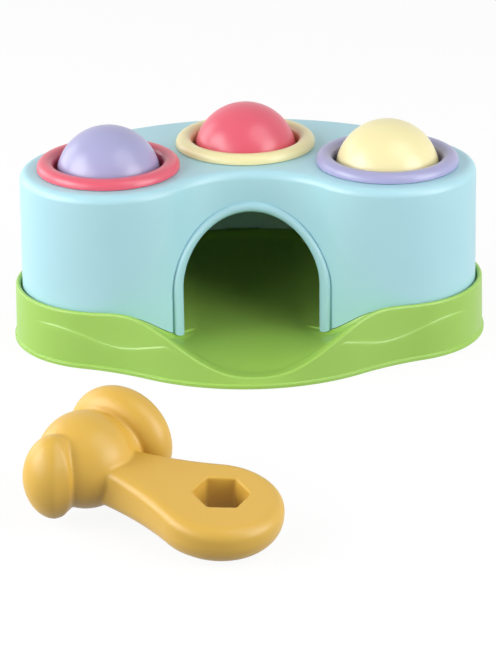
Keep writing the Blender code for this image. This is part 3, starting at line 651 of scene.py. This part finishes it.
def tray_mesh():
    """Tray: closed loft from the middle of its underside, out over flange, wall and rounded rim, down the
    bowl by a power curve to the housing's foot, and over the valley floor to its middle.  Where the rim
    is low its crest spreads inwards and bends by a squared sine, so that it runs softly into the bowl."""
    centre = np.array([0.0, FLOOR_CENTRE_Y])
    rim = rim_height(tray_outline(0.0))
    wall = FLANGE_STEP + RIM_LEAN
    seat = housing_outline(-SEAT_GAP)
    sill = housing_outline(HOUSING_WALL + SEAT_GAP)
    foot = foot_height(housing_outline(0.0))
    low = np.clip((RIM_HEIGHT - rim) / (RIM_HEIGHT - LIP_HEIGHT), 0, 1)
    drop = RIM_ROUND * (1 - (1 - CREST_SHARE) * low)
    crest = tray_outline(wall + RIM_ROUND)
    inwards = (tray_outline(wall + 2 * RIM_ROUND) - crest) * (1 + CREST_SPREAD * low)[:, None]
    inner_rim = crest + inwards

    top = [lifted(tray_outline(0.0), 0.0)]
    for turn in np.linspace(0, pi / 2, FLANGE_ROWS):
        inset = FLANGE_ROUND * (1 - cos(turn))
        top.append(lifted(tray_outline(inset), FLANGE_HEIGHT - FLANGE_ROUND * (1 - sin(turn))))
    top += tray_wall_rings(rim)
    quarter = np.linspace(0, pi / 2, RIM_ROWS)[1:]
    for turn in quarter:
        outline = tray_outline(wall + RIM_ROUND * (1 - cos(turn)))
        top.append(lifted(outline, rim - RIM_ROUND * (1 - sin(turn))))
    for turn in quarter:
        bend = (1 - low) * (1 - cos(turn)) + low * sin(turn) ** 2
        top.append(lifted(crest + inwards * sin(turn), rim - drop * bend))
    for share in np.linspace(0, 1, BOWL_ROWS)[1:]:
        fall = 1 - (1 - share) ** BOWL_POWER
        outline = inner_rim + (seat - inner_rim) * share
        top.append(lifted(outline, rim - drop + (foot - rim + drop) * fall))
    top.append(lifted(sill, foot))
    shares = np.r_[np.linspace(1, FLOOR_EDGE_SHARE, FLOOR_EDGE_ROWS)[1:],
                   np.linspace(FLOOR_EDGE_SHARE, FLOOR_MIDDLE_SHARE, FLOOR_ROWS)[1:]]
    floor = [centre + (sill - centre) * share for share in shares]
    blend = [eased((1 - share) / (1 - FLOOR_EDGE_SHARE)) for share in shares]
    top += [lifted(xy, foot + (floor_height(xy) - foot) * b) for xy, b in zip(floor, blend)]

    under_rim = np.maximum(rim - RIM_HEIGHT + LEDGE_HEIGHT, LIP_HEIGHT) - TRAY_WALL
    under = [lifted(xy, foot + (floor_height(xy) - foot) * b - TRAY_WALL)
             for xy, b in list(zip(floor, blend))[::-UNDERSIDE_SKIP]]
    under += [
        lifted(sill, foot - TRAY_WALL),
        lifted(seat, foot - TRAY_WALL),
        lifted(tray_outline(wall + TRAY_WALL), under_rim),
        lifted(tray_outline(FLANGE_STEP + TRAY_WALL), 0.0),
    ]
    middle = floor_height(centre[None])[0]
    shell = skinned(under + top, (*centre, middle - TRAY_WALL), (*centre, middle))
    posts = bars(screw_places(), POST_RADIUS, 0.0, LEDGE_HEIGHT, POST_SIDES)
    pad_top = floor_height(np.zeros((1, 2)))[0] - TRAY_WALL / 3
    pad = bars([(0.0, 0.0)], PAD_RADIUS, 0.0, pad_top, PAD_SIDES)
    bores = bars(screw_places(), SCREW_SHANK_RADIUS + FIT, -FIT, RIM_HEIGHT, BORE_SIDES)
    heads = bars(screw_places(), SCREW_HEAD_RADIUS + FIT, -FIT, LEDGE_HEIGHT - SCREW_SEAT, BOSS_SIDES)
    return shaped(shell, [
        (posts, "UNION"),
        (pad, "UNION"),
        (bores, "DIFFERENCE"),
        (heads, "DIFFERENCE"),
    ])


def front_wall_y(x, z):
    """Depth of the housing's drafted front face: saddle's arc near the middle, a lobe's arc beyond."""
    inset = tan(DRAFT) * (z - LEDGE_HEIGHT)
    y = saddle_centre()
    x = np.abs(x)
    meet_x = SIDE_HOLE_X * (1 - LOBE_RADIUS / hypot(SIDE_HOLE_X, y))
    saddle = y + np.sqrt(np.maximum((-y - SADDLE_REACH + inset) ** 2 - x ** 2, 0))
    lobe = -np.sqrt(np.maximum((LOBE_RADIUS - inset) ** 2 - (SIDE_HOLE_X - x) ** 2, 0))
    return np.where(x < meet_x, saddle, lobe)


def arch_path(half_width, foot):
    """Arch from its right foot, up the leg, over a half circle and down to its left foot, as (x, z)."""
    angles = np.linspace(0, pi, ARCH_STEPS)
    leg = np.linspace(foot, ARCH_SPRING_HEIGHT, LEG_STEPS)[:-1]
    side = np.full(len(leg), half_width)
    x = np.r_[side, half_width * np.cos(angles), -side]
    z = np.r_[leg, ARCH_SPRING_HEIGHT + half_width * np.sin(angles), leg[::-1]]
    return np.column_stack([x, z])


def arch_band():
    """Half-round band carried along the arch: each strand of the section keeps its depth from the face
    of the housing."""
    inner = ARCH_HALF_WIDTH
    outer = ARCH_HALF_WIDTH + ARCH_BAND_WIDTH
    middle, half = (inner + outer) / 2, (outer - inner) / 2
    turns = np.linspace(0, pi, BAND_STEPS)
    widths = np.r_[inner, outer, middle + half * np.cos(turns)]
    depths = np.r_[HOUSING_WALL / 2, HOUSING_WALL / 2, -ARCH_BAND_RISE * np.sin(turns)]
    plan = housing_outline(0.0)[:FRONT_STEPS + SWEEP_STEPS + 1]
    feet = np.interp(widths, plan[:, 0], foot_height(housing_outline(0.0))[:len(plan)]) + 2 * FIT
    strands = []
    for width, depth, foot in zip(widths, depths, feet):
        path = arch_path(width, foot)
        strands.append(np.column_stack([path[:, 0], front_wall_y(*path.T) + depth, path[:, 1]]))
    return skinned(np.array(strands).transpose(1, 0, 2))


def housing_mesh():
    """Housing: closed loft of the lobed plan up a drafted wall, round a quarter-circle edge and over a
    flat roof, outside and in; then bosses, collar holes, doorway, key notch and the doorway's band."""
    foot = foot_height(housing_outline(0.0)) + FIT
    lean = tan(DRAFT)
    inner_edge = max(TOP_EDGE_RADIUS - HOUSING_WALL, HOUSING_WALL / 2)
    ceiling = TOP_HEIGHT - HOUSING_WALL

    def side(inset, radius, top, rows, edge_rows):
        """Rings up the wall, round its quarter-circle edge and a little way in over the roof."""
        start = inset + lean * (top - radius - LEDGE_HEIGHT)
        low = lifted(housing_outline(inset), foot)
        high = lifted(housing_outline(start), top - radius)
        rings = [low + (high - low) * share for share in np.linspace(0, 1, rows)]
        for turn in np.linspace(0, pi / 2, edge_rows)[1:]:
            outline = housing_outline(start + radius * (1 - cos(turn)))
            rings.append(lifted(outline, top - radius + radius * sin(turn)))
        rings.append(lifted(housing_outline(start + ROOF_MARGIN * radius), top))
        return rings

    outer = side(0.0, TOP_EDGE_RADIUS, TOP_HEIGHT, *OUTER_ROWS)
    inner = side(HOUSING_WALL, inner_edge, ceiling, *INNER_ROWS)
    shell = skinned(inner[::-1] + outer)
    boss_top = ceiling + HOUSING_WALL / 2
    bosses = bars(screw_places(), BOSS_RADIUS, LEDGE_HEIGHT + FIT, boss_top, BOSS_SIDES)
    pilot_top = LEDGE_HEIGHT + SCREW_LENGTH
    pilots = bars(screw_places(), SCREW_SHANK_RADIUS + FIT, LEDGE_HEIGHT, pilot_top, PILOT_SIDES)
    holes = bars(HOLES.values(), SLEEVE_RADIUS + FIT, ceiling - HOUSING_WALL, TOP_HEIGHT + HOUSING_WALL,
                 RING_STEPS)
    notch_top = LEDGE_HEIGHT + FIT + KEY_NOTCH_HEIGHT
    notch = block((-KEY_NOTCH_WIDTH / 2, BACK_REACH - 2 * HOUSING_WALL, 0.0),
                  (KEY_NOTCH_WIDTH / 2, BACK_REACH - HOUSING_WALL / 2, notch_top))
    path = arch_path(ARCH_HALF_WIDTH + FIT, 0.0)
    ends = (-(SIDE_HOLE_X + LOBE_RADIUS), MIDDLE_HOLE_Y - SLEEVE_RADIUS)
    doorway = skinned([np.insert(path, 1, y, axis=1) for y in ends])
    return shaped(shell, [
        (bosses, "UNION"),
        (pilots, "DIFFERENCE"),
        (joined([holes, notch]), "DIFFERENCE"),
        (doorway, "DIFFERENCE"),
        (arch_band(), "UNION"),
    ])


def collar_mesh(side):
    """Collar: a rim on the roof, half a superellipse fuller than an ellipse, and a sleeve through the
    hole, spun round, with snap hooks."""
    middle = COLLAR_BORE + COLLAR_RIM_WIDTH / 2
    half = COLLAR_RIM_WIDTH / 2
    turns = np.linspace(pi, 0, COLLAR_ROWS)
    full = np.sign(np.cos(turns)) * np.abs(np.cos(turns)) ** RIM_FULLNESS
    rise = np.abs(np.sin(turns)) ** RIM_FULLNESS
    rim = np.column_stack([middle + half * full, FIT + COLLAR_RIM_RISE * rise])
    lip_bore = BALL_RADIUS + SLEEVE_LIP_GAP
    sleeve = [
        (SLEEVE_RADIUS, FIT),
        (SLEEVE_RADIUS, -SLEEVE_DEPTH),
        (lip_bore, -SLEEVE_DEPTH),
        (lip_bore, SLEEVE_LIP - SLEEVE_DEPTH),
        (SLEEVE_BORE, SLEEVE_LIP - SLEEVE_DEPTH),
        (SLEEVE_BORE, -GROOVE_DEPTH),
        (COLLAR_BORE, GROOVE_CUT - GROOVE_DEPTH),
    ]
    ring = turned_ring(np.vstack([rim, sleeve]), RING_STEPS, HOLES[side])
    top = -HOUSING_WALL - FIT
    near, far = SLEEVE_RADIUS - HOOK_ROOT, SLEEVE_RADIUS + HOOK_REACH
    edge, tail = top - HOOK_HEIGHT / 4, top - HOOK_HEIGHT
    wedge = np.array([(near, top), (far, top), (far, edge), (near, tail)])
    hooks = []
    for turn in 2 * pi * (np.arange(HOOK_COUNT) + 0.5) / HOOK_COUNT:
        out = np.array([cos(turn), sin(turn), 0.0])
        across = np.array([-sin(turn), cos(turn), 0.0])
        face = HOLES[side] + wedge[:, :1] * out + wedge[:, 1:] * (0.0, 0.0, 1.0)
        hooks.append(skinned([face + across * y for y in (-HOOK_WIDTH / 2, HOOK_WIDTH / 2)]))
    return shaped(ring, [(joined(hooks), "UNION")])


def grip_mesh(side):
    """Grip ring: a soft wall in the sleeve's groove with a lip that carries the ball, spun round."""
    outer = SLEEVE_BORE - FIT
    inner = outer - GRIP_WALL
    top = -GROOVE_DEPTH - FIT
    bottom = SLEEVE_LIP - SLEEVE_DEPTH + FIT
    tip_z = -BALL_SINK - GRIP_CONTACT_DROP
    tip_r = sqrt(BALL_RADIUS ** 2 - GRIP_CONTACT_DROP ** 2) + FIT
    rise = tip_z + GRIP_TIP_HEIGHT
    rise_r = sqrt(BALL_RADIUS ** 2 - (rise + BALL_SINK) ** 2) + FIT
    profile = [(outer, top), (outer, bottom), (inner, bottom), (tip_r, tip_z), (rise_r, rise),
               (inner, (rise + top) / 2), (inner, top)]
    return turned_ring(profile, RING_STEPS, HOLES[side])


def ball_half(side, sign):
    """Half of a hollow ball: a quarter circle outside, a rounded weld edge and a quarter circle inside,
    spun round."""
    centre = HOLES[side] - (0.0, 0.0, BALL_SINK)
    inner = BALL_RADIUS - BALL_WALL
    gap = FIT / 2
    outside = np.linspace(0, acos((gap + WELD_ROUND) / BALL_RADIUS), BALL_ROWS)[1:]
    inside = np.linspace(acos(gap / inner), 0, BALL_INNER_ROWS)[:-1]
    edge = np.linspace(0, pi / 2, WELD_ROWS)[1:]
    profile = np.vstack([
        np.column_stack([np.sin(outside), np.cos(outside)]) * BALL_RADIUS,
        np.column_stack([BALL_RADIUS - WELD_ROUND * (1 - np.cos(edge)),
                         gap + WELD_ROUND * (1 - np.sin(edge))]),
        np.column_stack([np.sin(inside), np.cos(inside)]) * inner,
    ])
    rings = spun(profile * (1, sign), BALL_STEPS, centre)
    return skinned(rings, centre + (0, 0, sign * BALL_RADIUS), centre + (0, 0, sign * inner))


def screw_mesh(place):
    """Screw: a domed head with a cross recess and a shank whose radius follows a triangle wave of height
    less turn, which is a thread, fading into a point."""
    seat = np.array([*place, LEDGE_HEIGHT - SCREW_SEAT - FIT])
    dome = np.linspace(0, pi / 2, SCREW_DOME_ROWS)[1:]
    depth = 1 - SCREW_DOME_SHARE + SCREW_DOME_SHARE * np.cos(dome)
    head = np.column_stack([SCREW_HEAD_RADIUS * np.sin(dome), -SCREW_HEAD_HEIGHT * depth])
    head = np.vstack([head, [(SCREW_HEAD_RADIUS, 0.0), (SCREW_SHANK_RADIUS - THREAD_DEPTH, 0.0)]])
    z = np.linspace(THREAD_PITCH / 4, SCREW_LENGTH, SCREW_ROWS)[:, None]
    turns = 2 * pi * np.arange(SCREW_STEPS) / SCREW_STEPS
    phase = (z / THREAD_PITCH - turns / (2 * pi)) % 1
    tip = np.clip((SCREW_LENGTH - z) / SCREW_TIP_LENGTH, SCREW_TIP_SHARE, 1)
    radius = (SCREW_SHANK_RADIUS - THREAD_DEPTH * np.abs(2 * phase - 1)) * tip
    height = np.broadcast_to(z, radius.shape)
    shank = np.stack([radius * np.cos(turns), radius * np.sin(turns), height], axis=-1) + seat
    rings = np.concatenate([spun(head, SCREW_STEPS, seat), shank])
    crown = seat[2] - SCREW_HEAD_HEIGHT
    body = skinned(rings, (*place, crown), seat + (0, 0, SCREW_LENGTH + SCREW_POINT))
    low, high = crown - RECESS_OVERCUT, crown + RECESS_DEPTH
    x, y = place
    slots = [(block((x - across, y - along, low), (x + across, y + along, high)), "DIFFERENCE")
             for across, along in ((RECESS_REACH, RECESS_HALF_WIDTH), (RECESS_HALF_WIDTH, RECESS_REACH))]
    return shaped(body, slots)


def handle_outline(inset):
    """Plan of the hammer's handle about its end's centre: neck, hollow sweep and round end."""
    neck, end, sweep = HANDLE_NECK_HALF_WIDTH, HANDLE_END_RADIUS, HANDLE_NECK_RADIUS
    along = -sqrt((end + sweep) ** 2 - (neck + sweep) ** 2)
    turn = atan2(neck + sweep, along)
    head = acos((-HANDLE_REACH - along) / sweep)
    half = np.vstack([
        arc((along, -neck - sweep), sweep + inset, head, pi - turn, HANDLE_SWEEP_STEPS),
        arc((0.0, 0.0), end - inset, -turn, 0.0, HANDLE_END_STEPS),
        [[end - inset, 0.0]],
    ])
    return np.vstack([half, half[-2::-1] * (1, -1)])


def handle_mesh(upright, height):
    """Handle: its plan carried up through quarter-circle edges, wide below and narrow above, between a
    drooping underside and a tapered top, and let down until its end rests on the ground."""
    outline = handle_outline(0.0)
    inward = (handle_outline(FIT) - outline) / FIT
    span = (-HANDLE_REACH, 0.0)
    under = np.interp(outline[:, 0], span, (HANDLE_NECK_UNDER_ROUND, HANDLE_UNDER_ROUND))
    top = np.interp(outline[:, 0], span, (HANDLE_NECK_TOP_ROUND, HANDLE_TOP_ROUND))
    quarter = np.linspace(0.0, pi / 2, HANDLE_EDGE_ROWS)
    rings = []
    for turn in quarter[::-1]:
        xy = outline + inward * (under * (1 - cos(turn)))[:, None]
        low = -tan(HANDLE_DROOP) * xy[:, 0]
        rings.append(lifted(xy + (HANDLE_REACH, 0.0), low + under * (1 - sin(turn))))
    for turn in quarter:
        xy = outline + inward * (top * (1 - cos(turn)))[:, None]
        high = HANDLE_THICKNESS - (tan(HANDLE_DROOP) + tan(HANDLE_TAPER)) * xy[:, 0]
        rings.append(lifted(xy + (HANDLE_REACH, 0.0), high - top * (1 - sin(turn))))
    drop = (height + (np.vstack(rings) @ upright).min()) / upright[2]
    return skinned([ring - (0.0, 0.0, drop) for ring in rings])


def claw_mesh():
    """Claw: a circle cut by two flats, swelling and closing by a superellipse of height."""
    angles = 2 * pi * np.arange(CLAW_STEPS) / CLAW_STEPS
    flats = ((CLAW_FACE_REACH, CLAW_FACE_TURN), (CLAW_SIDE_REACH, CLAW_SIDE_TURN))
    face, side = (flat / np.maximum(np.cos(angles - turn), flat / CLAW_RADIUS) for flat, turn in flats)
    reach = np.minimum(face, side)
    outline = np.column_stack([reach * np.cos(angles), reach * np.sin(angles)])
    centre = np.array([CLAW_X, CLAW_Y])
    rings = []
    for turn in np.linspace(-pi / 2, pi / 2, CLAW_ROWS)[1:-1]:
        share = cos(turn) ** (2 / CLAW_BULGE)
        height = np.sign(turn) * abs(sin(turn)) ** (2 / CLAW_BULGE)
        rings.append(lifted(centre + outline * share, CLAW_HALF_HEIGHT * height))
    return skinned(rings, (*centre, -CLAW_HALF_HEIGHT), (*centre, CLAW_HALF_HEIGHT))


def head_mesh():
    """Striking face: a neck and a disc with a torus edge, spun round and laid along the head's axis."""
    ring = HEAD_RADIUS - HEAD_ROUND
    near = -acos((NECK_RADIUS - ring) / HEAD_ROUND)
    turns = np.linspace(near, pi / 2, HEAD_ROWS)
    edge = np.column_stack([ring + HEAD_ROUND * np.cos(turns), HEAD_REACH + HEAD_ROUND * np.sin(turns)])
    tip = HEAD_REACH + HEAD_ROUND
    profile = np.vstack([[(NECK_RADIUS / 2, 0.0), (NECK_RADIUS, 0.0)], edge, [(ring / 2, tip)]])
    rings = spun(profile, HEAD_STEPS, np.zeros(3))
    mesh = skinned(rings, (0, 0, 0), (0, 0, tip))
    mesh.transform(Matrix.Rotation(radians(-90), 4, "X"))
    return mesh


def hammer_mesh():
    """Hammer: handle, round body, face and claw run together, a six-sided hole cut, and the whole
    re-gridded and relaxed so that the creases soften as in a moulding."""
    axes = Euler((HEAD_ROLL, HANDLE_DIP, HANDLE_TURN)).to_matrix()
    rise = axes[2][1]
    height = (HEAD_RADIUS - HEAD_ROUND) * sqrt(1 - rise ** 2) + HEAD_ROUND - HEAD_REACH * rise
    turns = np.linspace(0, pi, HEAD_ROWS)[1:-1]
    globe = np.column_stack([np.sin(turns), np.cos(turns)]) * BODY_RADIUS
    centre = np.array([-BODY_SET_BACK, 0.0, BODY_LIFT])
    pole = np.array([0.0, 0.0, BODY_RADIUS])
    body = skinned(spun(globe, HEAD_STEPS, centre), centre + pole, centre - pole)
    hexagon = bars([(HEX_X, HEX_Y)], HEX_RADIUS, -HEX_CUT_REACH, HEX_CUT_REACH, 6, pi / 2)

    def soften(obj):
        """Grid the surface afresh and draw each point towards its neighbours."""
        grid = obj.modifiers.new("grid", "REMESH")
        grid.mode = "VOXEL"
        grid.voxel_size = HAMMER_GRAIN
        relax = obj.modifiers.new("relax", "SMOOTH")
        relax.factor = RELAX_FACTOR
        relax.iterations = RELAX_ROUNDS

    mesh = shaped(handle_mesh(np.array(axes)[2], height), [
        (body, "UNION"),
        (head_mesh(), "UNION"),
        (claw_mesh(), "UNION"),
        (hexagon, "DIFFERENCE"),
    ], soften)
    mesh.transform(Matrix.Translation((HAMMER_X, HAMMER_Y, height)) @ axes.to_4x4())
    return mesh


def looked_at(tree):
    """1 for rays from the camera or from a reflection, 0 for rays that carry light about."""
    ray = add(tree, "ShaderNodeLightPath").outputs
    rays = {0: ray["Is Camera Ray"], 1: ray["Is Glossy Ray"]}
    return add(tree, "ShaderNodeMath", None, rays, operation="MAXIMUM").outputs[0]


def product(tree, first, second):
    """Product of two values."""
    return add(tree, "ShaderNodeMath", None, {0: first, 1: second}, operation="MULTIPLY").outputs[0]


def studio_floor(scene):
    """White paper floor: it glows to the eye so that it stays white, and keeps a soft shadow."""
    mesh = bpy.data.meshes.new("studio_floor")
    corners = [(-1, -1), (1, -1), (1, 1), (-1, 1)]
    mesh.from_pydata([(FLOOR_REACH * x, FLOOR_REACH * y, 0) for x, y in corners], [], [(0, 1, 2, 3)])
    floor = bpy.data.objects.new("studio_floor", mesh)
    floor.location.z = -FLOOR_DROP
    scene.collection.objects.link(floor)
    mat, tree, shader = shaded("white_paper_floor", {"Roughness": 0.9, "Specular IOR Level": 0.0})
    glow = add(tree, "ShaderNodeEmission", {"Color": (1, 1, 1, 1), "Strength": 1.0})
    camera_ray = add(tree, "ShaderNodeLightPath").outputs["Is Camera Ray"]
    tree.links.new(between(tree, camera_ray, "8e8e8c", "ffffff"), shader.inputs["Base Color"])
    share = add(tree, "ShaderNodeMath", {1: FLOOR_GLOW}, {0: looked_at(tree)}, operation="MULTIPLY")
    mix = add(tree, "ShaderNodeMixShader", None,
              {0: share.outputs[0], 1: shader.outputs[0], 2: glow.outputs[0]})
    tree.links.new(mix.outputs[0], tree.nodes["Material Output"].inputs["Surface"])
    mesh.materials.append(mat)


def studio_world(scene):
    """White surroundings to the eye; as light they fade upwards and towards the front."""
    world = bpy.data.worlds.new("studio_world")
    world.use_nodes = True
    scene.world = world
    tree = world.node_tree
    sky = tree.nodes["Background"]
    sky.inputs["Color"].default_value = (1, 1, 1, 1)
    place = add(tree, "ShaderNodeTexCoord").outputs["Generated"]
    way = add(tree, "ShaderNodeSeparateXYZ", None, {0: place}).outputs
    ring = ranged(tree, way["Z"], SKY_HEIGHTS, SKY_HEIGHT_GLOW)
    front = ranged(tree, way["Y"], SKY_DEPTHS, SKY_DEPTH_SHARE)
    links = {0: looked_at(tree), 2: product(tree, ring, front)}
    level = add(tree, "ShaderNodeMix", {3: 1.0}, links)
    tree.links.new(level.outputs[0], sky.inputs["Strength"])


def soft_boxes(scene):
    """Round soft boxes, all turned towards the toy."""
    for name, direction, distance, size, power in SOFT_BOXES:
        lamp = bpy.data.lights.new(name, "AREA")
        lamp.shape = "ELLIPSE"
        lamp.size, lamp.size_y = size
        lamp.energy = power
        obj = bpy.data.objects.new(name, lamp)
        away = Vector(direction).normalized()
        obj.location = LAMP_AIM + away * distance
        obj.rotation_mode = "QUATERNION"
        obj.rotation_quaternion = away.to_track_quat("Z", "Y")
        scene.collection.objects.link(obj)


def camera(scene):
    """Camera with the photograph's direction, roll and perspective."""
    level = cos(CAMERA_ELEVATION)
    back = Vector((sin(CAMERA_AZIMUTH) * level, -cos(CAMERA_AZIMUTH) * level, sin(CAMERA_ELEVATION)))
    right = Vector((cos(CAMERA_AZIMUTH), sin(CAMERA_AZIMUTH), 0.0))
    up = back.cross(right)
    across = cos(CAMERA_ROLL) * right + sin(CAMERA_ROLL) * up
    upward = cos(CAMERA_ROLL) * up - sin(CAMERA_ROLL) * right
    lens = bpy.data.cameras.new("camera")
    lens.lens = LENS_MM
    lens.sensor_width = SENSOR_MM
    obj = bpy.data.objects.new("camera", lens)
    turn = Matrix((across, upward, back)).transposed().to_4x4()
    obj.matrix_world = Matrix.Translation(CAMERA_AIM + CAMERA_DISTANCE * back) @ turn
    scene.collection.objects.link(obj)
    scene.camera = obj


def studio():
    """Pale floor, white surroundings, soft boxes and the camera."""
    scene = bpy.context.scene
    scene.view_settings.view_transform = "Standard"
    studio_floor(scene)
    studio_world(scene)
    soft_boxes(scene)
    camera(scene)


def dress():
    """Make every piece and set it on its body."""
    blue = moulded_plastic("moulded_abs_pale_blue", "a9d6e0", "a5d2dd", 0.38, 0.5, 0.65)
    green = moulded_plastic("moulded_abs_leaf_green", "9ac458", "94bf4f", 0.38, 0.5, 0.6)
    pink = moulded_plastic("moulded_abs_coral_pink", "dc5b6f", "d9566a", 0.30, 0.5, 0.6)
    yellow = moulded_plastic("moulded_abs_cream_yellow", "ebe2ad", "e8dda4", 0.30, 0.5, 0.65)
    lilac = moulded_plastic("moulded_abs_lilac", "a3a2ca", "9e9dc5", 0.30, 0.5, 0.65)
    amber = moulded_plastic("moulded_abs_amber", "d7ae4c", "d2a744", 0.38, 0.5, 0.5)
    rubber = soft_rubber()
    steel = zinc_plated_steel()
    piece("housing", housing_mesh(), blue, "bench", "housing_blue", "housing_shell")
    piece("tray", tray_mesh(), green, "bench", "base_green", "base_tray")
    for side, ring, ring_slot, skin, skin_slot in (
        ("left", pink, "collar_pink", lilac, "ball_lilac"),
        ("middle", yellow, "collar_yellow", pink, "ball_pink"),
        ("right", lilac, "collar_lilac", yellow, "ball_yellow"),
    ):
        piece("rim_collar_" + side, collar_mesh(side), ring, "bench", ring_slot, "collar_" + side)
        piece("soft_ring_" + side, grip_mesh(side), rubber, "bench", "grip_rubber", "grip_" + side)
        for half, sign in (("upper", 1), ("lower", -1)):
            node = "ball_%s_%s" % (side, half)
            piece("shell_" + node, ball_half(side, sign), skin, "ball_" + side, skin_slot, node)
    for count, place in enumerate(screw_places(), 1):
        node = "base_screw_%d" % count
        piece("tray_screw_%d" % count, screw_mesh(place), steel, "bench", "screw_steel", node)
    piece("toy_hammer", hammer_mesh(), amber, "hammer", "hammer_amber", "hammer", crease=60)


studio()
dress()
